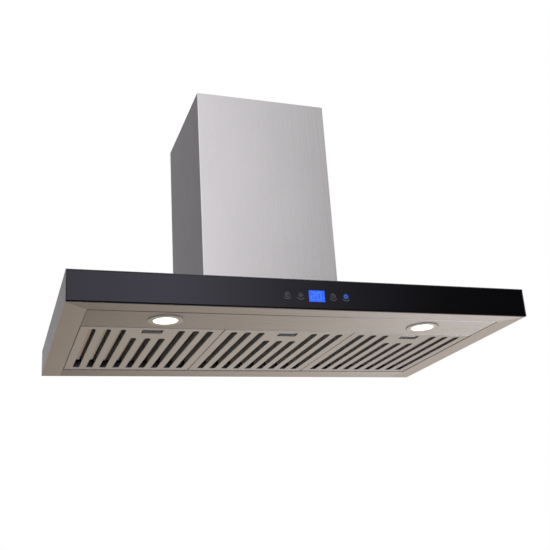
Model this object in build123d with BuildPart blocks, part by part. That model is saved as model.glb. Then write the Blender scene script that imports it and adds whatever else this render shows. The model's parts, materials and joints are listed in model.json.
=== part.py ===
"""Wall-mounted chimney range hood: slim steel canopy with a black glass front, three baffle
filters, two lamps, a twin-inlet blower and a telescopic flue.

Millimetres. +X is right, +Y is towards the wall, +Z is up. The wall is the plane Y = 0, and the
origin is on it, at mid width, level with the underside of the canopy.
"""
import os
from math import cos, radians, sin

from build123d import *

# Sheet metal and clearances
sheet = 1.2
seam = 0.3
running_gap = 0.3
bend_radius = 1.25 * sheet

# Canopy
canopy_width = 900
canopy_depth = 550
canopy_height = 57
band_width = 40
rear_strip_depth = 58
recess = 0.5
lip_rise = 0.8
panel_lip_rise = 6.8

# Glass front
glass_thickness = 4
glass_setback = 0.5
glass_bevel = 0.6
glass_low_bevel = 2
tape_thickness = 1
tape_height = 8
tape_inset = 20

# Touch controls behind the glass
control_x = -1.7
control_z = 26
control_width = 150
control_height = 34
touch_offsets = (-58.1, -32.1, 32.1, 58.1)
touch_radius = 5
touch_depth = 3
display_width = 32
display_height = 24
board_thickness = 1.6
board_margin = 2
housing_depth = 20
housing_wall = 2
housing_lap = 5
post_radius = 2.5

# Lamp panel and lamps
lamp_panel_rear = 150
panel_side_gap = 0.7
panel_front_gap = 4
panel_lap = 6
lamp_from_side = 186.5
bezel_radius = 33.5
bezel_proud = 1.8
bezel_round = 1.2
lens_radius = 23
lens_thickness = 2.5
lens_setback = 0.2
lens_round = 0.5
can_radius = 27
can_wall = 1.5
can_height = 26
can_gap = 0.5
clip_width = 8
clip_thickness = 0.8
clip_reach = 9
clip_height = 10
driver_length = 90
driver_width = 42
driver_height = 22
driver_round = 3

# Baffle filters
filter_names = ("left", "centre", "right")
filter_gap = 1.2
filter_side_gap = 1.4
filter_front_gap = 1.7
filter_step = 0.2
filter_height = 18
filter_drop = 50
slot_count = 9
slot_width = 13.5
slot_side_margin = 17
slot_front_margin = 15.5
slot_rear_margin = 18.5
short_slot_count = 3
short_slot_margin = 72.5
hook_radius = 1.5
hook_cover = 1.5
strip_round = 0.8
baffle_sheet = 0.8
baffle_width = 20
baffle_leg = 6.1
baffle_lift = 2.5
baffle_rear_margin = 42
bar_width = 10
bar_inset = 8

# Filter latches
handle_width = 40
handle_depth = 24.5
handle_margin = 13.5
handle_round = 3
latch_thickness = 2
latch_lift = 3.2
latch_lip_from_slot = 16
latch_slope_run = 2.2
latch_slope_drop = 1.6
latch_nose_width = 28
latch_nose_gap = 0.5
latch_travel = 6
latch_lap = 2.5
guide_wall = 1.5
guide_foot = 6
spring_bow = 9
spring_thickness = 0.6
spring_height = 1.6
spring_width = 34

# Flue
flue_width = 302
flue_depth = 302
flue_height = 524
flue_return = 20
flue_flange = 12
flue_gap = 0.8
flue_corner = 1.5
upper_flue_drop = 3
strap_height = 40
strap_from_top = 10
strap_thickness = 1.5

# Blower box and wall plate
box_side_gap = 7.8
box_front_gap = 41.5
box_height = 280
box_flange = 12
air_hole_margin = 15
wall_plate = 2
wall_plate_rise = 60
wall_bolt_drop = 25
wall_bolt_spacing = 160
wall_bolt_radius = 4.25

# Blower
fan_radius = 70
fan_inner_radius = 58
fan_half_width = 52
fan_ring = 2
fan_disc = 3
blade_count = 36
blade_thickness = 1.2
blade_angle = 35
hub_radius = 12
hub_length = 24
shaft_radius = 4
shaft_gap = 0.05
shaft_in_motor = 30
scroll_gap = 9
scroll_growth = 9
scroll_tongue = 30
scroll_half_width = 59
scroll_wall = 1.5
scroll_back_gap = 0.5
inlet_radius = 60
motor_radius = 38
motor_length = 80
motor_bevel = 5
bracket_ring = 8
bracket_plate = 2
bracket_clamp = 3
bracket_clamp_length = 10
bracket_arm = 12

# Duct collar and damper
collar_radius = 74.5
collar_wall = 2
collar_height = 68
collar_flange = 9
collar_flange_thickness = 2
damper_rise = 30
damper_pin_radius = 2
damper_barrel_wall = 1.6
damper_barrel_length = 14
damper_barrel_gap = 0.6
damper_sheet = 1.2
damper_edge_gap = 1
damper_stop = 2.5
damper_barrels = (-45, -15, 15, 45)

# Terminal box on top of the blower box
terminal_length = 100
terminal_width = 48
terminal_height = 36
terminal_wall = 2
terminal_from_wall = 10
capacitor_radius = 13
capacitor_length = 60
gland_radius = 8
gland_bore = 4
gland_rise = 16
gland_nut = 12
gland_nut_height = 5
gland_from_end = 22
gland_round = 3

# Screws
screw_radius = 1.9
screw_hole_gap = 0.2
screw_head_radius = 3.8
screw_head_height = 2.2
screw_length = 8

# Places worked out from the sizes above
half_width = canopy_width / 2
front_y = -canopy_depth
inner_half = half_width - band_width
top_under = canopy_height - sheet
glass_front_y = front_y + glass_setback
glass_back_y = glass_front_y + glass_thickness
wall_front_y = glass_back_y + tape_thickness
wall_back_y = wall_front_y + sheet
inner_front_y = front_y + glass_thickness + band_width
lip_top = recess + lip_rise
panel_lip_top = recess + panel_lip_rise
panel_top = recess + sheet
panel_half = inner_half - panel_side_gap
panel_front_y = inner_front_y + panel_front_gap
panel_rear_y = front_y + lamp_panel_rear
lamp_x = half_width - lamp_from_side
lamp_y = (inner_front_y + panel_rear_y) / 2
screw_hole = screw_radius + screw_hole_gap

filter_pitch = (2 * (inner_half - filter_side_gap) + filter_gap) / len(filter_names)
filter_width = filter_pitch - filter_gap
filter_front_y = panel_rear_y + filter_front_gap
tray_low = recess + filter_step
hook_y = -rear_strip_depth + hook_cover
hook_z = sheet + running_gap + hook_radius
drop_turn = radians(filter_drop)
hook_reach = (hook_cover + running_gap + (hook_z - tray_low) * sin(drop_turn)) / cos(drop_turn)
tray_rear_y = hook_y - hook_reach
slot_pitch = (filter_width - 2 * slot_side_margin - slot_width) / (slot_count - 1)
filter_top = tray_low + filter_height

flue_y = -flue_depth / 2
upper_inset = sheet + flue_gap
scroll_start = fan_radius + scroll_gap
scroll_end = scroll_start + 2 * scroll_growth
outlet_front = scroll_growth + scroll_end
outlet_depth = outlet_front - scroll_tongue
fan_y = -(wall_plate + scroll_back_gap + scroll_wall + scroll_start)
collar_y = fan_y - (outlet_front + scroll_tongue) / 2

box_width = flue_width - 2 * (upper_inset + sheet + flue_return + box_side_gap)
box_depth = outlet_front + scroll_wall + box_front_gap - fan_y
box_top = canopy_height + box_height
plate_top = box_top + sheet
air_hole_width = box_width - 2 * air_hole_margin
air_hole_depth = box_depth - 2 * air_hole_margin
fan_z = canopy_height + scroll_end + scroll_wall + air_hole_margin
fan_plane = Plane(origin=(0, fan_y, fan_z), x_dir=(0, 1, 0), z_dir=(1, 0, 0))
damper_z = plate_top + collar_flange_thickness + damper_rise

box_half = box_width / 2
box_screw_x = box_half + box_flange / 2
box_screw_ys = (-box_depth / 4, -box_depth * 3 / 4)
box_screw_points = [(side * box_screw_x, y) for side in (-1, 1) for y in box_screw_ys]
box_screw_points += [(side * box_half / 2, -box_depth - box_flange / 2) for side in (-1, 1)]
flue_screw_x = flue_width / 2 - sheet - flue_flange / 2
flue_screw_points = [(side * flue_screw_x, flue_y) for side in (-1, 1)]
flue_screw_points += [(side * flue_width / 3, -flue_depth + sheet + flue_flange / 2) for side in (-1, 1)]


def block(low, high, mode=Mode.ADD):
    """A box between two opposite corners."""
    with Locations(tuple((a + b) / 2 for a, b in zip(low, high))):
        Box(*[b - a for a, b in zip(low, high)], mode=mode)


def keep(piece, name):
    """Labels a finished piece and writes it as its own file."""
    piece.part.label = name
    export_step(piece.part, f"parts/{name}.step")


os.makedirs("parts", exist_ok=True)

# Canopy top, with the air opening into the blower box
with BuildPart() as canopy_top:
    with BuildSketch(Plane.XY.offset(top_under)):
        with Locations((0, front_y / 2)):
            Rectangle(canopy_width, canopy_depth)
        with Locations((0, -box_depth / 2)):
            Rectangle(air_hole_width, air_hole_depth, mode=Mode.SUBTRACT)
        with Locations(*box_screw_points, *flue_screw_points):
            Circle(screw_hole, mode=Mode.SUBTRACT)
    extrude(amount=sheet)
keep(canopy_top, "canopy_top")

# Side panels: wall, lower band mitred at the front, and the band's turned-up inner edge
for side, name in ((-1, "left_side_panel"), (1, "right_side_panel")):
    with BuildPart() as side_panel:
        with BuildSketch(Plane.XY):
            with BuildLine():
                Polyline(
                    (side * half_width, inner_front_y - band_width),
                    (side * inner_half, inner_front_y),
                    (side * inner_half, -sheet),
                    (side * half_width, -sheet),
                    close=True,
                )
            make_face()
        extrude(amount=sheet)
        with BuildSketch(Plane.XY):
            with Locations((side * (half_width - sheet / 2), (front_y - sheet) / 2)):
                Rectangle(sheet, canopy_depth - sheet)
        extrude(amount=top_under)
        lip_xs = sorted((side * inner_half, side * (inner_half + sheet)))
        block((lip_xs[0], inner_front_y, 0), (lip_xs[1], -sheet, lip_top))
        block((lip_xs[0], inner_front_y, 0), (lip_xs[1], panel_rear_y, panel_lip_top))
    keep(side_panel, name)

# Front channel: wall and lower band behind the glass, turned-up inner edge
with BuildPart() as front_channel:
    wall_half = half_width - sheet - seam
    with BuildSketch(Plane.XY):
        with BuildLine():
            Polyline(
                (seam - wall_half, wall_front_y),
                (wall_half - seam, wall_front_y),
                (inner_half - seam, inner_front_y),
                (seam - inner_half, inner_front_y),
                close=True,
            )
        make_face()
    extrude(amount=sheet)
    block((-wall_half, wall_front_y, sheet), (wall_half, wall_back_y, top_under - seam))
    block(
        (seam - inner_half, inner_front_y - sheet, sheet),
        (inner_half - seam, inner_front_y, panel_lip_top),
    )
    with BuildSketch(Plane.XZ.offset(-wall_back_y)):
        with Locations((control_x, control_z)):
            Rectangle(control_width, control_height)
    extrude(amount=sheet, mode=Mode.SUBTRACT)
keep(front_channel, "front_channel")

# Rear panel against the wall, with the strip that the filters hook on
with BuildPart() as rear_panel:
    block((-half_width, -sheet, 0), (half_width, 0, top_under))
    block((seam - inner_half, -rear_strip_depth, 0), (inner_half - seam, -sheet, sheet))
    strip_edges = rear_panel.edges().filter_by(Axis.X).group_by(Axis.Z)[0]
    fillet(strip_edges.sort_by(Axis.Y)[0], strip_round)
keep(rear_panel, "rear_panel")

# Lamp panel: shallow tray whose rim rests on the turned-up edges, with a rear flange for the latches
with BuildPart() as light_panel:
    block((-panel_half, panel_front_y, recess), (panel_half, panel_rear_y, panel_lip_top))
    fillet(light_panel.faces().sort_by(Axis.Z)[0].edges(), bend_radius)
    block(
        (-inner_half - panel_lap, inner_front_y - panel_lap, panel_lip_top),
        (inner_half + panel_lap, panel_rear_y, panel_lip_top + sheet),
    )
    block(
        (sheet - panel_half, panel_front_y + sheet, panel_top),
        (panel_half - sheet, panel_rear_y - sheet, panel_lip_top + sheet),
        mode=Mode.SUBTRACT,
    )
    block((-panel_half, panel_rear_y - sheet, panel_lip_top), (panel_half, panel_rear_y, filter_top))
    with BuildSketch(Plane.XY.offset(recess)):
        with Locations((-lamp_x, lamp_y), (lamp_x, lamp_y)):
            Circle(can_radius + can_gap)
    extrude(amount=sheet, mode=Mode.SUBTRACT)
keep(light_panel, "light_panel")

# Glass front with its polished edges, and the two strips of tape that hold it
with BuildPart() as front_glass:
    glass_half = half_width - sheet - seam
    block((-glass_half, glass_front_y, seam), (glass_half, glass_back_y, top_under - seam))
    chamfer(front_glass.faces().sort_by(Axis.Y)[0].edges().sort_by(Axis.Z)[0], glass_low_bevel)
    chamfer(front_glass.faces().sort_by(Axis.Y)[0].edges().sort_by(Axis.Z)[1:], glass_bevel)
keep(front_glass, "front_glass")

with BuildPart() as glass_tape:
    tape_half = half_width - tape_inset
    for low_z in (sheet + 2 * seam, top_under - 2 * seam - tape_height):
        block((-tape_half, glass_back_y, low_z), (tape_half, wall_front_y, low_z + tape_height))
keep(glass_tape, "glass_tape")

# Display, touch pads and board behind the glass, held by the posts of the housing
board_front_y = glass_back_y + touch_depth
board_back_y = board_front_y + board_thickness
board_half_width = control_width / 2 - board_margin
board_half_height = control_height / 2 - board_margin

with BuildPart() as display_module:
    block(
        (control_x - display_width / 2, glass_back_y, control_z - display_height / 2),
        (control_x + display_width / 2, board_front_y, control_z + display_height / 2),
    )
    chamfer(display_module.faces().sort_by(Axis.Y)[0].edges(), glass_bevel)
keep(display_module, "display_module")

with BuildPart() as touch_pads:
    with BuildSketch(Plane.XZ.offset(-board_front_y)):
        with Locations(*[(control_x + x, control_z) for x in touch_offsets]):
            Circle(touch_radius)
    extrude(amount=touch_depth)
keep(touch_pads, "touch_pads")

with BuildPart() as control_board:
    with BuildSketch(Plane.XZ.offset(-board_back_y)):
        with Locations((control_x, control_z)):
            RectangleRounded(2 * board_half_width, 2 * board_half_height, board_margin)
    extrude(amount=board_thickness)
keep(control_board, "control_board")

with BuildPart() as control_housing:
    housing_width = control_width + 2 * housing_lap
    housing_height = control_height + 2 * housing_lap
    housing_back_y = wall_back_y + housing_depth
    post_spacing_x = 2 * (board_half_width - housing_lap)
    post_spacing_z = 2 * (board_half_height - housing_lap)
    with BuildSketch(Plane.XZ.offset(-housing_back_y)):
        with Locations((control_x, control_z)):
            RectangleRounded(housing_width, housing_height, housing_lap)
    extrude(amount=housing_depth)
    with BuildSketch(Plane.XZ.offset(-wall_back_y)):
        with Locations((control_x, control_z)):
            Rectangle(control_width, control_height)
    extrude(amount=-(housing_depth - housing_wall), mode=Mode.SUBTRACT)
    with BuildSketch(Plane.XZ.offset(-housing_back_y)):
        with Locations((control_x, control_z)):
            with GridLocations(post_spacing_x, post_spacing_z, 2, 2):
                Circle(post_radius)
    extrude(amount=housing_back_y - board_back_y)
keep(control_housing, "control_housing")


def lamp(side, name):
    """One lamp: bezel ring and its sleeve, lens, can, and the pair of clips that hold it up."""
    lamp_axis = Plane(origin=(side * lamp_x, lamp_y, 0), x_dir=(1, 0, 0), z_dir=(0, 0, 1))
    bezel_low = recess - bezel_proud
    lens_low = bezel_low + lens_setback
    lens_top = lens_low + lens_thickness
    can_low = lens_top
    can_top = can_low + can_height

    with BuildPart() as bezel:
        with BuildSketch(lamp_axis.offset(bezel_low)):
            Circle(bezel_radius)
            Circle(lens_radius, mode=Mode.SUBTRACT)
        extrude(amount=bezel_proud)
        fillet(bezel.faces().sort_by(Axis.Z)[0].edges().sort_by(SortBy.RADIUS)[-1], bezel_round)
    keep(bezel, f"{name}_lamp_bezel")

    with BuildPart() as lens:
        with BuildSketch(lamp_axis.offset(lens_low)):
            Circle(lens_radius - shaft_gap)
        extrude(amount=lens_thickness)
        fillet(lens.edges().group_by(Axis.Z)[0], lens_round)
    keep(lens, f"{name}_lamp_lens")

    with BuildPart() as can:
        with BuildSketch(lamp_axis.offset(recess)):
            Circle(can_radius)
        extrude(amount=can_top - recess)
        with BuildSketch(lamp_axis.offset(recess)):
            Circle(can_radius - can_wall)
        extrude(amount=can_height - can_wall, mode=Mode.SUBTRACT)
        fillet(can.edges().group_by(Axis.Z)[-1], can_wall)
    keep(can, f"{name}_lamp_can")

    with BuildPart() as clips:
        for hand in (-1, 1):
            inner = hand * can_radius
            outer = hand * (can_radius + clip_reach)
            clip_plane = Plane(
                origin=(side * lamp_x, lamp_y + clip_width / 2, panel_top),
                x_dir=(1, 0, 0),
                z_dir=(0, -1, 0),
            )
            with BuildSketch(clip_plane):
                with BuildLine():
                    Polyline(
                        (inner + hand * running_gap, clip_height),
                        (inner + hand * running_gap, clip_height - clip_thickness),
                        (outer - hand * clip_thickness, clip_height - clip_thickness),
                        (outer - hand * clip_thickness, 0),
                        (outer, 0),
                        (outer, clip_height),
                        close=True,
                    )
                make_face()
            extrude(amount=clip_width)
    keep(clips, f"{name}_lamp_clips")


lamp(-1, "left")
lamp(1, "right")

# Lamp driver on the lamp panel
with BuildPart() as lamp_driver:
    block(
        (-driver_length / 2, lamp_y - driver_width / 2, panel_top),
        (driver_length / 2, lamp_y + driver_width / 2, panel_top + driver_height),
    )
    fillet(lamp_driver.edges().filter_by(Axis.Z), driver_round)
keep(lamp_driver, "lamp_driver")


def baffle_filter(mid_x, name):
    """One filter: slotted tray with its hook, baffles, and the spring latch with its guide."""
    face_top = tray_low + sheet
    slot_rear_y = tray_rear_y - slot_rear_margin
    slot_xs = [mid_x + (i - (slot_count - 1) / 2) * slot_pitch for i in range(slot_count)]
    first_short = (slot_count - short_slot_count) // 2
    short_slots = range(first_short, first_short + short_slot_count)
    half_filter = filter_width / 2
    latch_low = face_top + latch_lift
    latch_top = latch_low + latch_thickness
    handle_front_y = filter_front_y + handle_margin
    handle_rear_y = handle_front_y + handle_depth
    latch_half = handle_width / 2 + latch_lap
    rail_half = handle_width / 2
    latch_front_y = panel_rear_y + latch_nose_gap
    guide_front_y = filter_front_y + sheet + seam
    latch_rear_y = handle_rear_y + latch_travel + guide_wall
    guide_rear_y = latch_rear_y + spring_bow + guide_wall

    with BuildPart() as tray:
        block(
            (mid_x - half_filter, filter_front_y, tray_low),
            (mid_x + half_filter, tray_rear_y, filter_top),
        )
        fillet(tray.faces().sort_by(Axis.Z)[0].edges(), bend_radius)
        block(
            (mid_x - half_filter + sheet, filter_front_y + sheet, face_top),
            (mid_x + half_filter - sheet, tray_rear_y - sheet, filter_top),
            mode=Mode.SUBTRACT,
        )
        with BuildSketch(Plane.XY.offset(tray_low)):
            for i, x in enumerate(slot_xs):
                margin = short_slot_margin if i in short_slots else slot_front_margin
                slot_front_y = filter_front_y + margin + slot_width / 2
                with Locations((x, (slot_front_y + slot_rear_y) / 2)):
                    Rectangle(slot_width, slot_rear_y - slot_front_y)
                with Locations((x, slot_front_y)):
                    Circle(slot_width / 2)
            with Locations((mid_x, (handle_front_y + handle_rear_y) / 2)):
                RectangleRounded(handle_width, handle_depth, handle_round)
        extrude(amount=sheet, mode=Mode.SUBTRACT)
        with BuildSketch(Plane.YZ.offset(mid_x - half_filter)):
            with Locations((hook_y, hook_z)):
                Circle(hook_radius)
            with Locations(((tray_rear_y + hook_y) / 2, hook_z + hook_radius / 2)):
                Rectangle(hook_reach, hook_radius)
        extrude(amount=filter_width)
        nose_hole_half = latch_nose_width / 2 + running_gap
        block(
            (mid_x - nose_hole_half, filter_front_y, latch_low - running_gap),
            (mid_x + nose_hole_half, filter_front_y + sheet, latch_top + running_gap),
            mode=Mode.SUBTRACT,
        )
    keep(tray, f"{name}_filter_tray")

    leg_low = face_top + baffle_lift
    cap_low = leg_low + baffle_leg
    cap_top = cap_low + baffle_sheet
    baffle_rear_y = tray_rear_y - baffle_rear_margin
    short_front_y = filter_front_y + short_slot_margin
    with BuildPart() as baffles:
        for i, x in enumerate(slot_xs):
            start_y = short_front_y if i in short_slots else filter_front_y + slot_front_margin
            left = x - baffle_width / 2
            right = x + baffle_width / 2
            block((left, start_y, cap_low), (right, baffle_rear_y, cap_top))
            block((left, start_y, leg_low), (left + baffle_sheet, baffle_rear_y, cap_low))
            block((right - baffle_sheet, start_y, leg_low), (right, baffle_rear_y, cap_low))
        bar_half = half_filter - sheet
        for bar_y in (short_front_y + bar_inset, baffle_rear_y - bar_inset - bar_width):
            block(
                (mid_x - bar_half, bar_y, cap_top),
                (mid_x + bar_half, bar_y + bar_width, cap_top + sheet),
            )
    keep(baffles, f"{name}_filter_baffles")

    groove_low = latch_low - running_gap
    groove_top = latch_top + running_gap
    groove_half = latch_half + running_gap
    guide_half = groove_half + guide_wall
    with BuildPart() as guide:
        for hand in (-1, 1):
            with BuildSketch(Plane(origin=(mid_x, guide_rear_y, 0), x_dir=(1, 0, 0), z_dir=(0, -1, 0))):
                with BuildLine():
                    Polyline(
                        (hand * rail_half, face_top),
                        (hand * (guide_half + guide_foot), face_top),
                        (hand * (guide_half + guide_foot), face_top + guide_wall),
                        (hand * guide_half, face_top + guide_wall),
                        (hand * guide_half, groove_top),
                        (hand * groove_half, groove_top),
                        (hand * groove_half, groove_low),
                        (hand * rail_half, groove_low),
                        close=True,
                    )
                make_face()
            extrude(amount=guide_rear_y - guide_front_y)
        block(
            (mid_x - guide_half, guide_front_y, groove_top),
            (mid_x + guide_half, guide_rear_y, groove_top + guide_wall),
        )
        block(
            (mid_x - rail_half, guide_rear_y - guide_wall, face_top),
            (mid_x + rail_half, guide_rear_y, groove_top),
        )
    keep(guide, f"{name}_latch_guide")

    lip_y = handle_front_y + latch_lip_from_slot
    lip_half = handle_width / 2 - latch_lap
    nose_half = latch_nose_width / 2
    with BuildPart() as latch:
        block(
            (mid_x - latch_half, guide_front_y, latch_low),
            (mid_x + latch_half, latch_rear_y, latch_top),
        )
        block(
            (mid_x - nose_half, latch_front_y, latch_low),
            (mid_x + nose_half, guide_front_y, latch_top),
        )
        block(
            (mid_x - lip_half, lip_y, tray_low + running_gap),
            (mid_x + lip_half, lip_y + guide_wall, latch_low),
        )
        # Slope from the plate down to the finger lip
        with BuildSketch(Plane.YZ.offset(mid_x)):
            with BuildLine():
                Polyline(
                    (lip_y, latch_low),
                    (lip_y - latch_slope_run, latch_low),
                    (lip_y, latch_low - latch_slope_drop),
                    close=True,
                )
            make_face()
        extrude(amount=lip_half, both=True)
    keep(latch, f"{name}_filter_latch")

    spring_rear_y = guide_rear_y - guide_wall
    spring_foot_y = spring_rear_y - spring_thickness
    foot_inner = spring_width / 2
    foot_outer = foot_inner + spring_thickness
    with BuildPart() as spring:
        with BuildSketch(Plane.XY.offset(latch_low)):
            with BuildLine():
                ThreePointArc(
                    (mid_x - foot_inner, spring_foot_y),
                    (mid_x, latch_rear_y + spring_thickness),
                    (mid_x + foot_inner, spring_foot_y),
                )
                Polyline(
                    (mid_x + foot_inner, spring_foot_y),
                    (mid_x + foot_inner, spring_rear_y),
                    (mid_x + foot_outer, spring_rear_y),
                    (mid_x + foot_outer, spring_foot_y),
                )
                ThreePointArc(
                    (mid_x + foot_outer, spring_foot_y),
                    (mid_x, latch_rear_y),
                    (mid_x - foot_outer, spring_foot_y),
                )
                Polyline(
                    (mid_x - foot_outer, spring_foot_y),
                    (mid_x - foot_outer, spring_rear_y),
                    (mid_x - foot_inner, spring_rear_y),
                    (mid_x - foot_inner, spring_foot_y),
                )
            make_face()
        extrude(amount=spring_height)
    keep(spring, f"{name}_latch_spring")


for index, name in enumerate(filter_names):
    baffle_filter((index - (len(filter_names) - 1) / 2) * filter_pitch, name)

# Wall plate that the hood hangs on, at the back of the blower box
with BuildPart() as hanging_plate:
    plate_high = box_top + wall_plate_rise
    bolt_z = plate_high - wall_bolt_drop
    block((-box_half, -wall_plate, canopy_height), (box_half, 0, plate_high))
    with BuildSketch(Plane.XZ):
        with Locations(*[(side * wall_bolt_spacing / 2, bolt_z) for side in (-1, 1)]):
            Circle(wall_bolt_radius)
    extrude(amount=wall_plate, mode=Mode.SUBTRACT)
keep(hanging_plate, "hanging_plate")

# Blower box: front and side walls with a screw flange on the canopy, and its top plate
with BuildPart() as blower_box:
    with BuildSketch(Plane.XY.offset(canopy_height)):
        with Locations((0, -(box_depth + wall_plate) / 2)):
            Rectangle(box_width, box_depth - wall_plate)
        with Locations((0, -(box_depth - sheet + wall_plate) / 2)):
            Rectangle(box_width - 2 * sheet, box_depth - sheet - wall_plate, mode=Mode.SUBTRACT)
    extrude(amount=box_height)
    with BuildSketch(Plane.XY.offset(canopy_height)):
        with Locations((0, -(box_depth + box_flange + wall_plate) / 2)):
            Rectangle(box_width + 2 * box_flange, box_depth + box_flange - wall_plate)
        with Locations((0, -(box_depth - sheet + wall_plate) / 2)):
            Rectangle(box_width - 2 * sheet, box_depth - sheet - wall_plate, mode=Mode.SUBTRACT)
        with Locations(*box_screw_points):
            Circle(screw_hole, mode=Mode.SUBTRACT)
    extrude(amount=sheet)
keep(blower_box, "blower_box")

with BuildPart() as blower_top_plate:
    with BuildSketch(Plane.XY.offset(box_top)):
        with Locations((0, -(box_depth + wall_plate) / 2)):
            Rectangle(box_width, box_depth - wall_plate)
        with Locations((0, collar_y)):
            Rectangle(2 * scroll_half_width, outlet_depth, mode=Mode.SUBTRACT)
    extrude(amount=sheet)
keep(blower_top_plate, "blower_top_plate")


def scroll_outline(grow):
    """Side outline of the scroll: three quarter arcs that widen, and the outlet going up."""
    far = -(outlet_front + grow)
    near = -(scroll_tongue - grow)
    high = box_top - fan_z
    start = scroll_start + grow
    middle = start + scroll_growth
    end = middle + scroll_growth
    with BuildLine() as outline:
        CenterArc((0, 0), start, 0, 90)
        CenterArc((-scroll_growth, 0), middle, -90, 90)
        CenterArc((-scroll_growth, scroll_growth), end, 180, 90)
        Polyline((far, scroll_growth), (far, high), (near, high), (near, start), (0, start))
    make_face(outline.edges())


# The two halves of the scroll, each with its air inlet
for side, name in ((-1, "scroll_left_half"), (1, "scroll_right_half")):
    with BuildPart() as scroll_half:
        with BuildSketch(fan_plane):
            scroll_outline(scroll_wall)
        extrude(amount=side * (scroll_half_width + scroll_wall))
        with BuildSketch(fan_plane):
            scroll_outline(0)
        extrude(amount=side * scroll_half_width, mode=Mode.SUBTRACT)
        with BuildSketch(fan_plane):
            Circle(inlet_radius)
            if side < 0:
                with PolarLocations(inlet_radius + bracket_ring / 2, 3, start_angle=90):
                    Circle(screw_hole)
        extrude(amount=side * (scroll_half_width + scroll_wall), mode=Mode.SUBTRACT)
    keep(scroll_half, name)

# Impeller: blades between two end rings, on a middle disc with its hub and shaft
with BuildPart() as impeller:
    blade_radius = (fan_radius + fan_inner_radius) / 2
    blade_chord = (fan_radius - fan_inner_radius) / cos(radians(blade_angle))
    with BuildSketch(fan_plane.offset(-fan_half_width)):
        with PolarLocations(blade_radius, blade_count):
            Rectangle(blade_chord, blade_thickness, rotation=blade_angle)
        Circle(fan_radius, mode=Mode.INTERSECT)
    extrude(amount=2 * fan_half_width)
    for ring_x in (-fan_half_width, fan_half_width - fan_ring):
        with BuildSketch(fan_plane.offset(ring_x)):
            Circle(fan_radius)
            Circle(fan_inner_radius, mode=Mode.SUBTRACT)
        extrude(amount=fan_ring)
    with BuildSketch(fan_plane.offset(-fan_disc / 2)):
        Circle(fan_radius)
    extrude(amount=fan_disc)
    with BuildSketch(fan_plane.offset(-fan_disc / 2)):
        Circle(hub_radius)
    extrude(amount=hub_length)
    with BuildSketch(fan_plane.offset(hub_length)):
        Circle(shaft_radius)
    extrude(amount=-hub_length - hub_radius - shaft_in_motor)
keep(impeller, "impeller")

# Motor in the left inlet, and the bracket that holds it on the scroll
motor_end_x = -hub_radius
with BuildPart() as motor_body:
    with BuildSketch(fan_plane.offset(motor_end_x)):
        Circle(motor_radius)
    extrude(amount=-motor_length)
    chamfer(motor_body.edges().filter_by(GeomType.CIRCLE), motor_bevel)
    with BuildSketch(fan_plane.offset(motor_end_x)):
        Circle(shaft_radius + shaft_gap)
    extrude(amount=-shaft_in_motor - hub_radius, mode=Mode.SUBTRACT)
keep(motor_body, "motor_body")

bracket_x = -(scroll_half_width + scroll_wall)
clamp_radius = motor_radius + shaft_gap + bracket_clamp
with BuildPart() as motor_bracket:
    with BuildSketch(fan_plane.offset(bracket_x)):
        Circle(inlet_radius + bracket_ring)
        Circle(inlet_radius, mode=Mode.SUBTRACT)
        with PolarLocations((inlet_radius + clamp_radius) / 2, 3, start_angle=90):
            Rectangle(inlet_radius - clamp_radius + bracket_ring, bracket_arm)
        Circle(clamp_radius)
        Circle(motor_radius + shaft_gap, mode=Mode.SUBTRACT)
        with PolarLocations(inlet_radius + bracket_ring / 2, 3, start_angle=90):
            Circle(screw_hole, mode=Mode.SUBTRACT)
    extrude(amount=-bracket_plate)
    with BuildSketch(fan_plane.offset(bracket_x)):
        Circle(clamp_radius)
        Circle(motor_radius + shaft_gap, mode=Mode.SUBTRACT)
    extrude(amount=-bracket_clamp_length)
keep(motor_bracket, "motor_bracket")


def screw_group(seat, points, way, name):
    """Pan-head screws in one group, with their heads on one plane and driven up or down its normal."""
    with BuildPart() as screws:
        with BuildSketch(seat):
            with Locations(*points):
                Circle(screw_radius)
        extrude(amount=way * screw_length)
        with BuildSketch(seat):
            with Locations(*points):
                Circle(screw_head_radius)
        extrude(amount=-way * screw_head_height)
    keep(screws, name)


screw_circle = inlet_radius + bracket_ring / 2
screw_turns = [radians(90 + 120 * i) for i in range(3)]
motor_screw_points = [(screw_circle * cos(a), screw_circle * sin(a)) for a in screw_turns]
screw_group(fan_plane.offset(bracket_x - bracket_plate), motor_screw_points, 1, "motor_screws")
screw_group(Plane.XY.offset(canopy_height + sheet), box_screw_points, -1, "blower_screws")
screw_group(Plane.XY.offset(top_under), flue_screw_points, 1, "flue_screws")

# Duct collar with the stop ledge of its damper
collar_bore = collar_radius - collar_wall
pin_plane = Plane(origin=(0, collar_y, damper_z), x_dir=(0, 1, 0), z_dir=(1, 0, 0))
with BuildPart() as outlet_collar:
    with BuildSketch(Plane(origin=(0, collar_y, plate_top))):
        Circle(collar_radius + collar_flange)
        Circle(collar_bore, mode=Mode.SUBTRACT)
    extrude(amount=collar_flange_thickness)
    with BuildSketch(Plane(origin=(0, collar_y, plate_top))):
        Circle(collar_radius)
        Circle(collar_bore, mode=Mode.SUBTRACT)
    extrude(amount=collar_height)
    with BuildSketch(Plane(origin=(0, collar_y, damper_z - damper_sheet / 2 - running_gap))):
        Circle(collar_radius)
        Circle(collar_bore - damper_stop, mode=Mode.SUBTRACT)
    extrude(amount=-collar_wall)
    with BuildSketch(pin_plane.offset(-collar_radius)):
        Circle(damper_pin_radius + shaft_gap)
    extrude(amount=2 * collar_radius, mode=Mode.SUBTRACT)
keep(outlet_collar, "outlet_collar")

with BuildPart() as damper_pin:
    with BuildSketch(pin_plane.offset(-collar_radius)):
        Circle(damper_pin_radius)
    extrude(amount=2 * collar_radius)
keep(damper_pin, "damper_pin")

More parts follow.
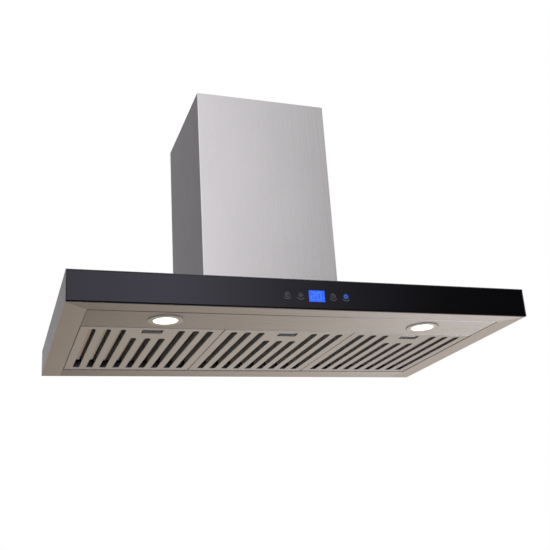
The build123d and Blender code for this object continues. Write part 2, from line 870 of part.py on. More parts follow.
# Damper flaps: half discs on barrels that take turns along the pin
barrel_radius = damper_pin_radius + shaft_gap + damper_barrel_wall
flap_inset = barrel_radius + damper_barrel_gap
flap_radius = collar_bore - damper_edge_gap
for hand, name in ((-1, "damper_front_flap"), (1, "damper_rear_flap")):
    own_barrels = damper_barrels[(hand + 1) // 2 :: 2]
    with BuildPart() as flap:
        with BuildSketch(Plane(origin=(0, collar_y, damper_z - damper_sheet / 2))):
            Circle(flap_radius)
            with Locations((0, hand * (flap_inset - flap_radius))):
                Rectangle(2 * flap_radius, 2 * flap_radius, mode=Mode.SUBTRACT)
            with Locations(*[(x, hand * flap_inset / 2) for x in own_barrels]):
                Rectangle(damper_barrel_length, flap_inset)
        extrude(amount=damper_sheet)
        for x in own_barrels:
            with BuildSketch(pin_plane.offset(x - damper_barrel_length / 2)):
                Circle(barrel_radius)
            extrude(amount=damper_barrel_length)
        with BuildSketch(pin_plane.offset(-flap_radius)):
            Circle(damper_pin_radius + shaft_gap)
        extrude(amount=2 * flap_radius, mode=Mode.SUBTRACT)
    keep(flap, name)

# Terminal box with its cover, capacitor and cable gland
terminal_rear_y = -terminal_from_wall
terminal_front_y = terminal_rear_y - terminal_width
terminal_y = (terminal_front_y + terminal_rear_y) / 2
terminal_top = plate_top + terminal_height
gland_x = terminal_length / 2 - gland_from_end
with BuildPart() as terminal_box:
    with BuildSketch(Plane(origin=(0, terminal_y, plate_top))):
        Rectangle(terminal_length, terminal_width)
    extrude(amount=terminal_height)
    with BuildSketch(Plane(origin=(0, terminal_y, plate_top + terminal_wall))):
        Rectangle(terminal_length - 2 * terminal_wall, terminal_width - 2 * terminal_wall)
    extrude(amount=terminal_height, mode=Mode.SUBTRACT)
keep(terminal_box, "terminal_box")

with BuildPart() as terminal_cover:
    with BuildSketch(Plane(origin=(0, terminal_y, terminal_top))):
        Rectangle(terminal_length, terminal_width)
        with Locations((gland_x, 0)):
            Circle(gland_radius, mode=Mode.SUBTRACT)
    extrude(amount=terminal_wall)
keep(terminal_cover, "terminal_cover")

with BuildPart() as capacitor:
    capacitor_start = -terminal_length / 2 + terminal_wall
    capacitor_z = plate_top + terminal_wall + capacitor_radius
    with BuildSketch(Plane.YZ.offset(capacitor_start)):
        with Locations((terminal_y, capacitor_z)):
            Circle(capacitor_radius)
    extrude(amount=capacitor_length)
keep(capacitor, "capacitor")

with BuildPart() as cable_gland:
    gland_plane = Plane(origin=(gland_x, terminal_y, terminal_top))
    with BuildSketch(gland_plane):
        Circle(gland_radius)
    extrude(amount=gland_rise)
    with BuildSketch(gland_plane.offset(terminal_wall)):
        RegularPolygon(gland_nut, 6)
    extrude(amount=gland_nut_height)
    fillet(cable_gland.edges().group_by(Axis.Z)[-1], gland_round)
    with BuildSketch(gland_plane):
        Circle(gland_bore)
    extrude(amount=gland_rise, mode=Mode.SUBTRACT)
keep(cable_gland, "cable_gland")


def flue_outline(inset):
    """Plan of a flue: front, two sides, and two returns along the wall."""
    width = flue_width - 2 * inset
    depth = flue_depth - 2 * inset
    with Locations((0, flue_y)):
        RectangleRounded(width, depth, flue_corner)
        Rectangle(width - 2 * sheet, depth - 2 * sheet, mode=Mode.SUBTRACT)
    with Locations((0, -inset - sheet / 2)):
        Rectangle(width - 2 * (sheet + flue_return), 2 * sheet, mode=Mode.SUBTRACT)


# Outer flue, standing on the canopy and screwed down through its turned-in flange
flue_top = canopy_height + flue_height
with BuildPart() as outer_flue:
    with BuildSketch(Plane.XY.offset(canopy_height)):
        flue_outline(0)
    extrude(amount=flue_height)
    with BuildSketch(Plane.XY.offset(canopy_height)):
        with Locations((0, flue_y)):
            Rectangle(flue_width - 2 * sheet, flue_depth - 2 * sheet)
        with Locations((0, flue_y + flue_flange + sheet)):
            Rectangle(flue_width - 2 * (sheet + flue_flange), flue_depth, mode=Mode.SUBTRACT)
        with Locations(*flue_screw_points):
            Circle(screw_hole, mode=Mode.SUBTRACT)
    extrude(amount=sheet)
keep(outer_flue, "outer_flue")

# Upper flue, nested in the outer one and drawn up to reach the ceiling, with its wall strap
upper_low = canopy_height + sheet + seam
upper_high = flue_top - upper_flue_drop
with BuildPart() as upper_flue:
    with BuildSketch(Plane.XY.offset(upper_low)):
        flue_outline(upper_inset)
    extrude(amount=upper_high - upper_low)
keep(upper_flue, "upper_flue")

with BuildPart() as upper_flue_strap:
    strap_half = flue_width / 2 - upper_inset - sheet
    strap_y = -upper_inset - sheet
    strap_high = upper_high - strap_from_top
    block(
        (-strap_half, strap_y - strap_thickness, strap_high - strap_height),
        (strap_half, strap_y, strap_high),
    )
keep(upper_flue_strap, "upper_flue_strap")
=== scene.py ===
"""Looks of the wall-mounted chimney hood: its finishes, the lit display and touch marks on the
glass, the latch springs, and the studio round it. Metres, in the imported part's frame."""
import json
import math

import bmesh
import bpy
from mathutils import Matrix, Vector


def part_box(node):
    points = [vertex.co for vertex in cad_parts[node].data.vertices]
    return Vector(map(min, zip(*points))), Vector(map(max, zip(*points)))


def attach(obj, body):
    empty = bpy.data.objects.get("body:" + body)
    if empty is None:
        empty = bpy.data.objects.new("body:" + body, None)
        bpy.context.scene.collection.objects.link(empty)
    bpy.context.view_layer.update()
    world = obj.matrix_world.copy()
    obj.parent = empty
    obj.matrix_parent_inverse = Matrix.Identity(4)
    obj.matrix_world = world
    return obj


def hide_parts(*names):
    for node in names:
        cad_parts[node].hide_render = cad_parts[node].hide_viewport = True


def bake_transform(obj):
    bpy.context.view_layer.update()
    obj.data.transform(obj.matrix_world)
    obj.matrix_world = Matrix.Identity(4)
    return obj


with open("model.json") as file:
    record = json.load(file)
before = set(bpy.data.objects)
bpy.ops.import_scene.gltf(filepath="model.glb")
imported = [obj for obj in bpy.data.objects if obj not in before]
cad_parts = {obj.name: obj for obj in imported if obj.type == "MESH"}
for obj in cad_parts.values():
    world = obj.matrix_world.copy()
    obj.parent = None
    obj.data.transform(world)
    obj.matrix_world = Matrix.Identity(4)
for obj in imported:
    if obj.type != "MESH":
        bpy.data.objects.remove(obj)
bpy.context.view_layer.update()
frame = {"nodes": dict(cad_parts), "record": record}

nodes = frame["nodes"]
MM = 0.001


# Shader nodes


def new_finish(name):
    """A material with its own surface shader."""
    finish = bpy.data.materials.new(name)
    finish.use_nodes = True
    return finish, finish.node_tree, finish.node_tree.nodes["Principled BSDF"]


def feed(tree, node, key, value):
    """Sets a socket, or links another node's output to it."""
    if isinstance(value, bpy.types.NodeSocket):
        tree.links.new(value, node.inputs[key])
    else:
        node.inputs[key].default_value = value


def add(tree, kind, sockets=None, **settings):
    """A node with its settings, and its sockets given a value or a link."""
    node = tree.nodes.new(kind)
    for key, value in settings.items():
        setattr(node, key, value)
    for key, value in (sockets or {}).items():
        feed(tree, node, key, value)
    return node


def maths(tree, operation, *values, **settings):
    """A number worked out from others."""
    sockets = dict(enumerate(values))
    return add(tree, "ShaderNodeMath", sockets, operation=operation, **settings).outputs[0]


def vector_maths(tree, operation, sockets, output="Vector"):
    """A vector, or a number about vectors, worked out from others."""
    return add(tree, "ShaderNodeVectorMath", sockets, operation=operation).outputs[output]


def lay_out(tree, value, start, end, low=0.0, high=1.0):
    """A value's range from start to end laid out between two others."""
    ranged = add(
        tree,
        "ShaderNodeMapRange",
        {"Value": value, "From Min": start, "From Max": end, "To Min": low, "To Max": high},
    )
    return ranged.outputs["Result"]


def own_place(tree, output="Object"):
    """The place, or the normal, of a point in the piece's own coordinates."""
    return add(tree, "ShaderNodeTexCoord").outputs[output]


def place_along(tree, axis):
    """How far along one axis a point lies."""
    return add(tree, "ShaderNodeSeparateXYZ", {"Vector": own_place(tree)}).outputs[axis]


# Patterns

# The range that holds nearly all values of a noise pattern
pattern_low = 0.3
pattern_high = 0.7

# The cosines at which a face starts to count as looking one way, and fully does
facing_start = 0.80
facing_full = 0.95

# The height just above the turned-up edges from which the canopy's inner faces get painted shade, and
# its fade
inner_shade_z = 8 * MM
inner_shade_fade = 1 * MM

# The shadow line in the seam round a lamp
seam_width = 3.0 * MM


def grain(tree, stretch, detail, rough=0.55):
    """Noise on the piece's own coordinates, stretched along one way to make brush lines."""
    place = own_place(tree)
    stretched = add(tree, "ShaderNodeMapping", {"Vector": place, "Scale": stretch})
    noise = add(
        tree,
        "ShaderNodeTexNoise",
        {"Vector": stretched.outputs["Vector"], "Scale": 1.0, "Detail": detail, "Roughness": rough},
    )
    return noise.outputs["Fac"]


def spread(tree, pattern, low, high):
    """A pattern's middle range laid out between two values."""
    return lay_out(tree, pattern, pattern_low, pattern_high, low, high)


def tint(tree, pattern, dark, light):
    """A colour between two, following a pattern."""
    ramp = add(tree, "ShaderNodeValToRGB", {"Fac": pattern})
    ramp.color_ramp.elements[0].position = pattern_low
    ramp.color_ramp.elements[0].color = (*dark, 1)
    ramp.color_ramp.elements[1].position = pattern_high
    ramp.color_ramp.elements[1].color = (*light, 1)
    return ramp.outputs["Color"]


def shade(colour, share):
    """A colour made darker or lighter."""
    return tuple(min(1.0, c * share) for c in colour)


def mottle(tree, pattern, colour, contrast):
    """A colour that gets darker and lighter with a pattern."""
    return tint(tree, pattern, shade(colour, 1 - contrast), shade(colour, 1 + contrast))


def relief(tree, pattern, strength, height):
    """Bump from a pattern, with its height in metres."""
    bump = add(
        tree, "ShaderNodeBump", {"Height": pattern, "Strength": strength, "Distance": height}
    )
    return bump.outputs["Normal"]


def facing(tree, ways):
    """How far a face looks one of the given ways, from 0 to 1."""
    normal = own_place(tree, "Normal")
    share = 0.0
    for way in ways:
        cosine = vector_maths(tree, "DOT_PRODUCT", {0: normal, 1: way}, "Value")
        close = lay_out(tree, cosine, facing_start, facing_full)
        share = maths(tree, "MAXIMUM", close, share)
    return share


def inside(tree, way):
    """How far a face looks one way inside the canopy, above its turned-up edges, where it gets
    painted shade.
    """
    height = place_along(tree, "Z")
    high = lay_out(tree, height, inner_shade_z, inner_shade_z + inner_shade_fade)
    return maths(tree, "MULTIPLY", high, facing(tree, (way,)))


def seam_shadow(tree, shadow_rings):
    """How close a point lies to the seam round one of the lamps, where a shadow line is painted: 1 in
    the seam's middle two thirds, and 0 outside it."""
    place = own_place(tree)
    share = 0.0
    for centre, radius in shadow_rings:
        out = vector_maths(tree, "SUBTRACT", {0: place, 1: centre})
        reach = vector_maths(tree, "LENGTH", {0: out}, "Value")
        gap = maths(tree, "ABSOLUTE", maths(tree, "SUBTRACT", reach, radius))
        close = lay_out(tree, gap, seam_width / 3, seam_width / 2, 1.0, 0.0)
        share = maths(tree, "MAXIMUM", close, share)
    return share


# Finishes

# Noise scales along and across the brush lines, and of the faint clouds in their tone
line_along = 6
line_across = 800
cloud_scale = 5

# How far the roughness swings round its mean
brushed_swing = 0.04
grainy_swing = 0.06

# How dark and how light the zinc crystals get
crystal_dark = 0.88
crystal_light = 1.08

# Wipe marks on the glass run along it
wipe_stretch = (3, 3, 14)


def brushed(
    name,
    colour,
    roughness,
    lie,
    contrast=0.05,
    drawn=0.75,
    dull_ways=(),
    dull=0.15,
    inner_way=None,
    shadow_rings=(),
):
    """Satin steel with brush lines that lie one way, its gloss drawn out across them. Faces that
    look the given ways, or the inner way inside the canopy, get painted shade in their colour and are
    made rough and not metallic; the seam round the lamps gets a painted shadow line the same way."""
    finish, tree, shader = new_finish(name)
    stretch = tuple(line_along if step > 0.5 else line_across for step in lie)
    lines = grain(tree, stretch, detail=4.0, rough=0.6)
    cloud = grain(tree, (cloud_scale,) * 3, detail=2.0)
    mean = maths(tree, "MULTIPLY", maths(tree, "ADD", lines, cloud), 0.5)
    satin = mottle(tree, mean, colour, contrast)
    gloss = spread(tree, lines, roughness - brushed_swing, roughness + brushed_swing)
    metal = 1.0
    if dull_ways or inner_way or shadow_rings:
        shade_and_matt = facing(tree, dull_ways)
        if inner_way:
            shade_and_matt = maths(tree, "MAXIMUM", shade_and_matt, inside(tree, inner_way))
        if shadow_rings:
            shade_and_matt = maths(tree, "MAXIMUM", shade_and_matt, seam_shadow(tree, shadow_rings))
        # Painted shade: on these faces the colour is darkened to a share of itself, and they are also
        # made rough and not metallic
        shade_scale = lay_out(tree, shade_and_matt, 0.0, 1.0, 1.0, dull)
        satin = vector_maths(tree, "SCALE", {"Vector": satin, "Scale": shade_scale})
        gloss = maths(tree, "ADD", gloss, shade_and_matt, use_clamp=True)
        metal = maths(tree, "SUBTRACT", 1.0, shade_and_matt)
    surface = add(tree, "ShaderNodeNewGeometry")
    across = vector_maths(tree, "CROSS_PRODUCT", {0: surface.outputs["Normal"], 1: lie})
    feed(tree, shader, "Base Color", satin)
    feed(tree, shader, "Roughness", gloss)
    feed(tree, shader, "Anisotropic", drawn)
    feed(tree, shader, "Tangent", across)
    feed(tree, shader, "Normal", relief(tree, lines, strength=0.02, height=0.12 * MM))
    feed(tree, shader, "Metallic", metal)
    return finish


def speckled(name, colour, roughness, size, contrast=0.12, metal=0.0):
    """A finish with fine even grain, such as moulded plastic, enamel or foam."""
    finish, tree, shader = new_finish(name)
    fine = grain(tree, (1 / size,) * 3, detail=3.0)
    gloss = spread(tree, fine, roughness - grainy_swing, roughness + grainy_swing)
    feed(tree, shader, "Base Color", mottle(tree, fine, colour, contrast))
    feed(tree, shader, "Roughness", gloss)
    feed(tree, shader, "Normal", relief(tree, fine, strength=0.15, height=0.2 * MM))
    feed(tree, shader, "Metallic", metal)
    return finish


def spangled(name, colour, roughness, cell):
    """Galvanised sheet: matt zinc crystals of slightly different grey."""
    finish, tree, shader = new_finish(name)
    crystals = add(tree, "ShaderNodeTexVoronoi", {"Vector": own_place(tree), "Scale": 1 / cell})
    tones = add(tree, "ShaderNodeSeparateColor", {"Color": crystals.outputs["Color"]}).outputs
    zinc = tint(tree, tones["Red"], shade(colour, crystal_dark), shade(colour, crystal_light))
    gloss = spread(tree, tones["Green"], roughness - grainy_swing, roughness + grainy_swing)
    feed(tree, shader, "Base Color", zinc)
    feed(tree, shader, "Roughness", gloss)
    feed(tree, shader, "Metallic", 1.0)
    return finish


def polished_glass(name):
    """Black-backed glass, polished, with faint wipe marks in its gloss."""
    finish, tree, shader = new_finish(name)
    wipes = grain(tree, wipe_stretch, detail=3.0)
    black = tint(tree, wipes, (0.0026, 0.0024, 0.0030), (0.0034, 0.0030, 0.0040))
    feed(tree, shader, "Base Color", black)
    feed(tree, shader, "Roughness", spread(tree, wipes, 0.055, 0.085))
    feed(tree, shader, "IOR", 1.5)
    feed(tree, shader, "Specular Tint", (0.82, 0.80, 1.0, 1))
    return finish


def circuit(name):
    """Green board with rows of paler tracks."""
    finish, tree, shader = new_finish(name)
    upright = add(
        tree, "ShaderNodeMapping", {"Vector": own_place(tree), "Rotation": (math.pi / 2, 0, 0)}
    )
    tracks = add(
        tree,
        "ShaderNodeTexBrick",
        {
            "Vector": upright.outputs["Vector"],
            "Color1": (0.02, 0.16, 0.06, 1),
            "Color2": (0.03, 0.22, 0.09, 1),
            "Mortar": (0.10, 0.38, 0.20, 1),
            "Scale": 60.0,
            "Mortar Size": 0.03,
        },
    )
    feed(tree, shader, "Base Color", tracks.outputs["Color"])
    feed(tree, shader, "Roughness", 0.35)
    return finish


def lit(name, dark, light, strength, size, base=(0.02, 0.02, 0.02)):
    """A surface that gives light, a little uneven."""
    finish, tree, shader = new_finish(name)
    fine = grain(tree, (1 / size,) * 3, detail=2.0)
    feed(tree, shader, "Base Color", (*base, 1))
    feed(tree, shader, "Roughness", 0.25)
    feed(tree, shader, "Emission Color", tint(tree, fine, dark, light))
    feed(tree, shader, "Emission Strength", strength)
    return finish


steel = (0.650, 0.625, 0.645)
steel_roughness = 0.30
left, right, forward, back, up, down = (
    Vector(way) for way in ((-1, 0, 0), (1, 0, 0), (0, -1, 0), (0, 1, 0), (0, 0, 1), (0, 0, -1))
)
round_about = [
    Vector((math.cos(turn * math.pi / 4), math.sin(turn * math.pi / 4), 0)) for turn in range(8)
]
# Brush lines, a little off the axes so that they cross every face
along_x = Vector((1, 0.02, 0.03))
along_y = Vector((0.02, 1, 0.03))
along_z = Vector((0.02, 0.03, 1))

# Centre and radius of the seam's painted shadow line round each lamp, just inside the bezel's rim
seam_inset = 0.2 * MM
lamp_shadow_rings = []
for bezel in ("left_lamp_bezel", "right_lamp_bezel"):
    bezel_low, bezel_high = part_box(bezel)
    bezel_radius = (bezel_high.x - bezel_low.x) / 2
    lamp_shadow_rings.append(((bezel_low + bezel_high) / 2, bezel_radius - seam_inset))


def hood_steel(name, lie, **more):
    """The satin steel of the canopy and the flue."""
    return brushed(name, steel, steel_roughness, lie, **more)


finishes = {
    # The bands' faces that look up or back, inside the hood, get painted shade
    "brushed_steel": hood_steel("brushed_steel_lengthwise", along_x, dull_ways=(up, back)),
    "galvanised_steel": spangled(
        "galvanised_steel", (0.56, 0.57, 0.58), roughness=0.42, cell=12 * MM
    ),
    "black_glass": polished_glass("black_glass"),
    "foam_tape": speckled(
        "foam_tape", (0.05, 0.05, 0.05), roughness=0.9, size=1.2 * MM, contrast=0.3
    ),
    "display": lit(
        "display_backlight", (0.0, 0.08, 0.85), (0.0, 0.12, 1.0), strength=0.6, size=6 * MM
    ),
    "touch_foam": speckled(
        "touch_foam", (0.20, 0.20, 0.21), roughness=0.8, size=1.0 * MM, contrast=0.25
    ),
    "circuit_board": circuit("circuit_board"),
    "black_plastic": speckled("black_plastic", (0.030, 0.030, 0.032), roughness=0.5, size=0.9 * MM),
    # The bezel's sides get painted shade, a dark outline round each lamp, and its rim a painted
    # shadow line
    "lamp_bezel": brushed(
        "lamp_bezel",
        (0.80, 0.765, 0.74),
        roughness=0.38,
        lie=along_x,
        contrast=0.04,
        drawn=0.0,
        dull_ways=round_about,
        dull=0.36,
        shadow_rings=lamp_shadow_rings,
    ),
    "lamp_lens": lit(
        "lamp_lens",
        (0.97, 0.96, 0.93),
        (1.0, 1.0, 0.98),
        strength=1.3,
        size=3 * MM,
        base=(0.9, 0.9, 0.88),
    ),
    "lamp_can": speckled(
        "lamp_can", (0.62, 0.62, 0.63), roughness=0.45, size=1.5 * MM, contrast=0.08, metal=1.0
    ),
    "spring_steel": brushed(
        "spring_steel", (0.58, 0.57, 0.56), roughness=0.25, lie=along_x, contrast=0.06, drawn=0.3
    ),
    "white_plastic": speckled(
        "white_plastic", (0.80, 0.80, 0.78), roughness=0.45, size=1.0 * MM, contrast=0.03
    ),
    "motor_steel": speckled(
        "motor_enamel", (0.07, 0.072, 0.078), roughness=0.40, size=1.4 * MM, contrast=0.2
    ),
    "zinc_screws": speckled(
        "zinc_plating", (0.62, 0.62, 0.58), roughness=0.30, size=1.0 * MM, contrast=0.08, metal=1.0
    ),
    # The trays' faces that look up, seen through the slots, get painted shade
    "filter_steel": brushed(
        "filter_steel",
        (0.76, 0.757, 0.812),
        roughness=0.38,
        lie=along_y,
        contrast=0.035,
        drawn=0.85,
        dull_ways=(up,),
        dull=0.5,
    ),
    # The baffles' faces that look left, right or up get painted shade
    "baffle_steel": brushed(
        "baffle_steel",
        (0.60, 0.56, 0.52),
        roughness=0.16,
        lie=along_y,
        contrast=0.06,
        drawn=0.3,
        dull_ways=(left, right, up),
        dull=0.28,
    ),
}
flue_steel = hood_steel("brushed_steel_upright", along_z, drawn=0.5)
# On the canopy's sheets, faces inside the canopy and faces that look the listed ways get painted
# shade
own_finish = {
    "outer_flue": flue_steel,
    "upper_flue": flue_steel,
    "canopy_top": hood_steel("canopy_top_steel", along_x, dull_ways=(down, forward)),
    "rear_panel": hood_steel("rear_panel_steel", along_x, inner_way=forward),
    "left_side_panel": hood_steel("left_side_steel", along_y, dull_ways=(forward,), inner_way=right),
    "right_side_panel": hood_steel("right_side_steel", along_y, dull_ways=(forward,), inner_way=left),
}
for row in frame["record"]["subparts"]:
    node_mesh = nodes[row["node"]].data
    node_mesh.materials.clear()
    node_mesh.materials.append(own_finish.get(row["node"], finishes[row["material_slot"]]))


# Pieces


def new_object(name, mesh_data, finish):
    """An object with one finish, made from mesh data that is freed."""
    mesh = bpy.data.meshes.new(name)
    mesh_data.to_mesh(mesh)
    mesh_data.free()
    mesh.materials.append(finish)
    made = bpy.data.objects.new(name, mesh)
    bpy.context.scene.collection.objects.link(made)
    return made


def piece(name, mesh_data, finish):
    """A finished piece of the hood."""
    bmesh.ops.recalc_face_normals(mesh_data, faces=mesh_data.faces)
    made = new_object(name, mesh_data, finish)
    return made


# Print and light on the glass

print_proud = 0.15 * MM
print_sunk = 0.30 * MM
glass_low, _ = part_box("front_glass")
mark_front = glass_low.y - print_proud
mark_back = glass_low.y + print_sunk
mark_depth = mark_back - mark_front
full_turn = 360


def bar(shape, x, z, width, height, near=mark_front, far=mark_back):
    """A thin upright plate on the glass."""
    place = Matrix.Translation((x, (near + far) / 2, z))
    size = Matrix.Diagonal((width, far - near, height, 1))
    bmesh.ops.create_cube(shape, size=1, matrix=place @ size)


def stroke(shape, x, z, radius, width, start=0, sweep=full_turn, steps=32):
    """A printed line that runs round a centre, from a start angle over a sweep in degrees."""
    middle = Vector((x, 0, z))
    angle = math.radians(start)
    out = Vector((math.cos(angle), 0, math.sin(angle)))
    corners = [
        shape.verts.new(middle + out * reach + Vector((0, y, 0)))
        for reach, y in (
            (radius - width / 2, mark_front),
            (radius + width / 2, mark_front),
            (radius + width / 2, mark_back),
            (radius - width / 2, mark_back),
        )
    ]
    rim = [shape.edges.new((corners[i], corners[(i + 1) % 4])) for i in range(4)]
    closed = sweep == full_turn
    profile = [*corners, *rim]
    if not closed:
        profile.append(shape.faces.new(corners))
    bmesh.ops.spin(
        shape,
        geom=profile,
        cent=middle,
        axis=(0, -1, 0),
        angle=math.radians(sweep),
        steps=steps,
        use_merge=closed,
    )


# Touch marks: a ring with a dot, a diamond with a square, a clock and a lit mark, with arcs below

mark_x = [x * MM for x in (-58.5, -32.6, 31.5, 57.5)]
mark_z = 26.7 * MM
ring_x, diamond_x, clock_x, lit_x = mark_x
ring_radius = 4.3 * MM
ring_width = 0.9 * MM
dot_radius = 0.9 * MM
dot_width = 1.2 * MM
square_size = 2.2 * MM
square_drop = 0.6 * MM
hand_width = 0.9 * MM
long_hand = 3.0 * MM
long_hand_rise = 1.4 * MM
short_hand = 2.4 * MM
short_hand_aside = 0.9 * MM
lit_radius = 3.0 * MM
lit_width = 3.6 * MM
arc_radius = 8.4 * MM
arc_width = 1.2 * MM
arc_start = 217
arc_sweep = 106

ink_grain = 0.6 * MM
mark_ink = speckled("mark_ink", (0.100, 0.098, 0.106), 0.5, ink_grain, contrast=0.10)
arc_ink = speckled("arc_ink", (0.080, 0.078, 0.086), 0.5, ink_grain, contrast=0.10)
lit_mark_blue = lit(
    "lit_mark_blue", (0.006, 0.055, 0.36), (0.012, 0.090, 0.48), strength=1.0, size=2 * MM
)
screen_blue = lit("screen_blue", (0.0, 0.095, 0.92), (0.0, 0.125, 1.0), strength=1.0, size=7 * MM)
digit_blue = lit("digit_blue", (0.040, 0.160, 0.95), (0.060, 0.200, 1.0), strength=1.0, size=4 * MM)

arcs = bmesh.new()
for x in mark_x:
    stroke(arcs, x, mark_z, arc_radius, arc_width, arc_start, arc_sweep, steps=16)
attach(piece("touch_arcs", arcs, arc_ink), "canopy")

marks = bmesh.new()
stroke(marks, ring_x, mark_z, ring_radius, ring_width)
stroke(marks, ring_x, mark_z, dot_radius, dot_width, steps=16)
stroke(marks, diamond_x, mark_z, ring_radius, ring_width, steps=4)
bar(marks, diamond_x, mark_z - square_drop, square_size, square_size)
stroke(marks, clock_x, mark_z, ring_radius, ring_width)
bar(marks, clock_x, mark_z + long_hand_rise, hand_width, long_hand)
bar(marks, clock_x + short_hand_aside, mark_z, short_hand, hand_width)
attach(piece("touch_marks", marks, mark_ink), "canopy")

lit_mark = bmesh.new()
stroke(lit_mark, lit_x, mark_z, lit_radius, lit_width)
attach(piece("lit_touch_mark", lit_mark, lit_mark_blue), "canopy")


# Display: a lit screen with two large digits and a small one

screen_x = -0.8 * MM
screen_z = 25.3 * MM
screen_width = 31.4 * MM
screen_height = 22.2 * MM
screen_corner = 0.6 * MM
screen = bmesh.new()
bar(screen, screen_x, screen_z, screen_width, screen_height)
bmesh.ops.bevel(
    screen,
    geom=[e for e in screen.edges if abs(e.verts[0].co.y - e.verts[1].co.y) > mark_depth / 2],
    offset=screen_corner,
    offset_type="OFFSET",
    affect="EDGES",
    segments=3,
    profile=0.5,
    material=-1,
)
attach(piece("display_screen", screen, screen_blue), "canopy")

# Segments of a digit: place of each bar in half widths and half heights, and whether it stands
segments = {
    "top": (0, 1, False),
    "middle": (0, 0, False),
    "bottom": (0, -1, False),
    "upper_left": (-1, 0.5, True),
    "upper_right": (1, 0.5, True),
    "lower_left": (-1, -0.5, True),
    "lower_right": (1, -0.5, True),
}
two = ("top", "upper_right", "middle", "lower_left", "bottom")
nought = ("top", "upper_left", "upper_right", "lower_left", "lower_right", "bottom")
one = ("upper_right", "lower_right")
digit_front = mark_front - 0.12 * MM
digit_back = mark_front + 0.1 * MM
digit_gap = 0.2
large_digit = (7.4 * MM, 14.0 * MM, 2.1 * MM)
small_digit = (2.4 * MM, 6.5 * MM, 1.4 * MM)
tens_x = screen_x - 7.6 * MM
units_x = screen_x + 4.0 * MM
small_x = screen_x + 11.2 * MM
small_z = screen_z - 2.5 * MM


def digit(shape, x, z, size, bars):
    """One lit digit made of bars. Its size is width, height and thickness of the bars, which keep
    a gap that is a share of the thickness."""
    width, height, thick = size
    gap = thick * digit_gap
    for name in bars:
        aside, above, stands = segments[name]
        bar(
            shape,
            x + aside * width / 2,
            z + above * height / 2,
            thick if stands else width - gap,
            height / 2 - gap if stands else thick,
            near=digit_front,
            far=digit_back,
        )


digits = bmesh.new()
digit(digits, tens_x, screen_z, large_digit, two)
digit(digits, units_x, screen_z, large_digit, nought)
digit(digits, small_x, small_z, small_digit, one)
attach(piece("display_digits", digits, digit_blue), "canopy")


# Latch springs: each spring drawn again as one bow, with its doubled points merged, in place of the
# part

same_point = 0.01 * MM
for side in ("left", "centre", "right"):
    spring_node = f"{side}_latch_spring"
    bow = bmesh.new()
    bow.from_mesh(nodes[spring_node].data)
    bmesh.ops.remove_doubles(bow, verts=bow.verts, dist=same_point)
    spring = piece(f"{side}_latch_bow", bow, finishes["spring_steel"])
    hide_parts(spring_node)
    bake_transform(spring)


# Studio: a pale floor, and glowing boards that the metal and glass mirror


def board(name, centre, half_across, half_along, finish):
    """A flat board of the studio, from its centre to the middles of two of its edges."""
    across, along = Vector(half_across), Vector(half_along)
    turn = Matrix((across, along, across.cross(along).normalized())).transposed()
    flat = bmesh.new()
    bmesh.ops.create_grid(
        flat,
        x_segments=1,
        y_segments=1,
        size=1,
        matrix=Matrix.Translation(centre) @ turn.to_4x4(),
    )
    made = new_object(name, flat, finish)
    return made


def glow(name, stops, strength):
    """A board's own light, with colours at places along X."""
    finish = bpy.data.materials.new(name)
    finish.use_nodes = True
    tree = finish.node_tree
    tree.nodes.clear()
    start, end = stops[0][0], stops[-1][0]
    along = lay_out(tree, place_along(tree, "X"), start, end)
    ramp = add(tree, "ShaderNodeValToRGB", {"Fac": along})
    ramp.color_ramp.interpolation = "B_SPLINE"
    while len(ramp.color_ramp.elements) < len(stops):
        ramp.color_ramp.elements.new(0.5)
    for element, (x, colour) in zip(ramp.color_ramp.elements, stops):
        element.position = (x - start) / (end - start)
        element.color = (*colour, 1)
    light = add(tree, "ShaderNodeEmission", {"Color": ramp.outputs["Color"], "Strength": strength})
    add(tree, "ShaderNodeOutputMaterial", {"Surface": light.outputs[0]})
    return finish


def reflector(name, centre, half_across, half_along, stops, strength=1.0):
    """A glowing board that shows only in reflections."""
    light = glow(f"{name}_glow", stops, strength)
    made = board(f"{name}_board", centre, half_across, half_along, light)
    made.visible_camera = False
    made.visible_diffuse = False
    made.visible_transmission = False
    made.visible_volume_scatter = False
    made.visible_shadow = False


def grey(level):
    """An even grey."""
    return (level, level, level)


floor_z = -1.6
floor_reach = 15
floor_paint = speckled("pale_floor", (0.80, 0.79, 0.78), roughness=0.8, size=0.4, contrast=0.02)
board("floor", (0, 0, floor_z), (floor_reach, 0, 0), (0, floor_reach, 0), floor_paint)

# Boards just above the floor lie at one height, and most are equally wide
low_z = -1.5
middle_x = 2
half_width = (10, 0, 0)

front_y = -6
front_stops = (
    (-1.5, grey(0.66)),
    (0.2, grey(0.82)),
    (0.8, grey(1.00)),
    (1.2, grey(0.85)),
    (1.9, grey(0.38)),
    (3.0, grey(0.07)),
    (3.7, grey(0.02)),
    (4.5, grey(0.0)),
)
reflector("front", (middle_x, front_y, 0.3), half_width, (0, 0, 2), front_stops, strength=1.6)

upper_stops = (
    (-1.0, grey(1.0)),
    (1.1, grey(1.0)),
    (2.0, grey(0.62)),
    (3.0, grey(0.22)),
    (4.5, grey(0.15)),
)
reflector("upper", (middle_x, front_y, 5.3), half_width, (0, 0, 3), upper_stops, strength=1.32)

side_stops = (
    (-3.0, (0.07, 0.07, 0.073)),
    (-1.9, (0.045, 0.045, 0.048)),
    (-0.9, (0.52, 0.505, 0.52)),
    (-0.6, (0.70, 0.68, 0.70)),
)
reflector("side", (-4.5, 6, 3.4), (5.5, 0, 0), (0, 0, 3), side_stops)

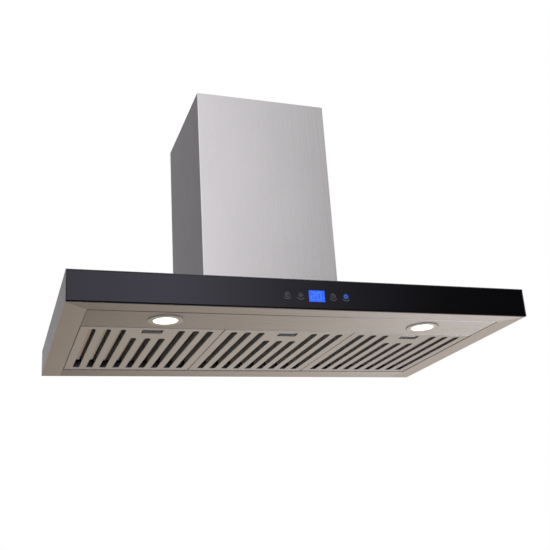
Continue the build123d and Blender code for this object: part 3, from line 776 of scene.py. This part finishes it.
under_stops = (
    (-0.6, (0.20, 0.17, 0.133)),
    (0.4, (0.38, 0.324, 0.257)),
    (1.8, (0.61, 0.54, 0.452)),
    (4.2, (0.66, 0.600, 0.520)),
    (7.0, (0.53, 0.485, 0.425)),
)
reflector("under", (middle_x, 13.95, low_z), half_width, (0, 13.05, 0), under_stops)

back_stops = ((-2.0, (0.20, 0.17, 0.135)), (8.0, (0.45, 0.405, 0.35)))
reflector("back", (4, 27, 1.0), (14, 0, 0), (0, 0, 2.6), back_stops)

near_stops = (
    (-0.5, grey(0.01)),
    (0.3, grey(0.015)),
    (0.6, grey(0.06)),
    (0.8, grey(0.22)),
    (1.0, grey(0.7)),
    (1.2, grey(1.0)),
)
reflector("near", (middle_x, 0.0, low_z), half_width, (0, 0.9, 0), near_stops, strength=2.1)

dark_stops = ((-1.0, grey(0.05)), (4.0, grey(0.02)))
reflector("dark", (middle_x, -2.45, low_z), half_width, (0, 1.55, 0), dark_stops)


def soft_lamp(name, place, target, size, power):
    """A square soft light aimed at a point."""
    data = bpy.data.lights.new(name, "AREA")
    data.shape = "SQUARE"
    data.size = size
    data.energy = power
    lamp = bpy.data.objects.new(name, data)
    lamp.location = place
    lamp.rotation_euler = (Vector(target) - Vector(place)).to_track_quat("-Z", "Y").to_euler()
    lamp.visible_glossy = False
    bpy.context.scene.collection.objects.link(lamp)


soft_lamp("key_light", place=(-2.2, -3.0, 2.6), target=(0, -0.3, 0.2), size=2.2, power=90)
soft_lamp("fill_light", place=(2.6, 1.6, 3.0), target=(0, -0.2, 0.3), size=2.5, power=50)

# The world is white where it is seen, mirrored or seen through, and lights the hood with a grey
world = bpy.data.worlds.new("studio")
world.use_nodes = True
bpy.context.scene.world = world
sky = world.node_tree
sky.nodes.clear()
ray = add(sky, "ShaderNodeLightPath").outputs
seen = maths(sky, "MAXIMUM", ray["Is Camera Ray"], ray["Is Glossy Ray"])
seen = maths(sky, "MAXIMUM", seen, ray["Is Transmission Ray"])
ambient = add(sky, "ShaderNodeBackground", {"Color": (0.60, 0.60, 0.61, 1), "Strength": 1.0})
white = add(sky, "ShaderNodeBackground", {"Color": (1, 1, 1, 1), "Strength": 1.0})
either = add(sky, "ShaderNodeMixShader", {0: seen, 1: ambient.outputs[0], 2: white.outputs[0]})
add(sky, "ShaderNodeOutputWorld", {"Surface": either.outputs[0]})


# Camera, below and to the left of the hood

camera_place = Vector((-0.57119, -1.96669, -0.45334))
view_right = Vector((0.93648, -0.34264, -0.07487))
view_up = Vector((-0.04993, -0.34152, 0.93855))
view_forward = Vector((0.34715, 0.87519, 0.33694))
camera_data = bpy.data.cameras.new("camera")
camera_data.sensor_width = 36
camera_data.lens = 56.665
camera_data.shift_x = -0.06364
camera_data.shift_y = -0.02364
camera = bpy.data.objects.new("camera", camera_data)
bpy.context.scene.collection.objects.link(camera)
camera_turn = Matrix((view_right, view_up, -view_forward)).transposed()
camera.matrix_world = Matrix.Translation(camera_place) @ camera_turn.to_4x4()
bpy.context.scene.camera = camera

bpy.context.scene.view_settings.view_transform = "Standard"
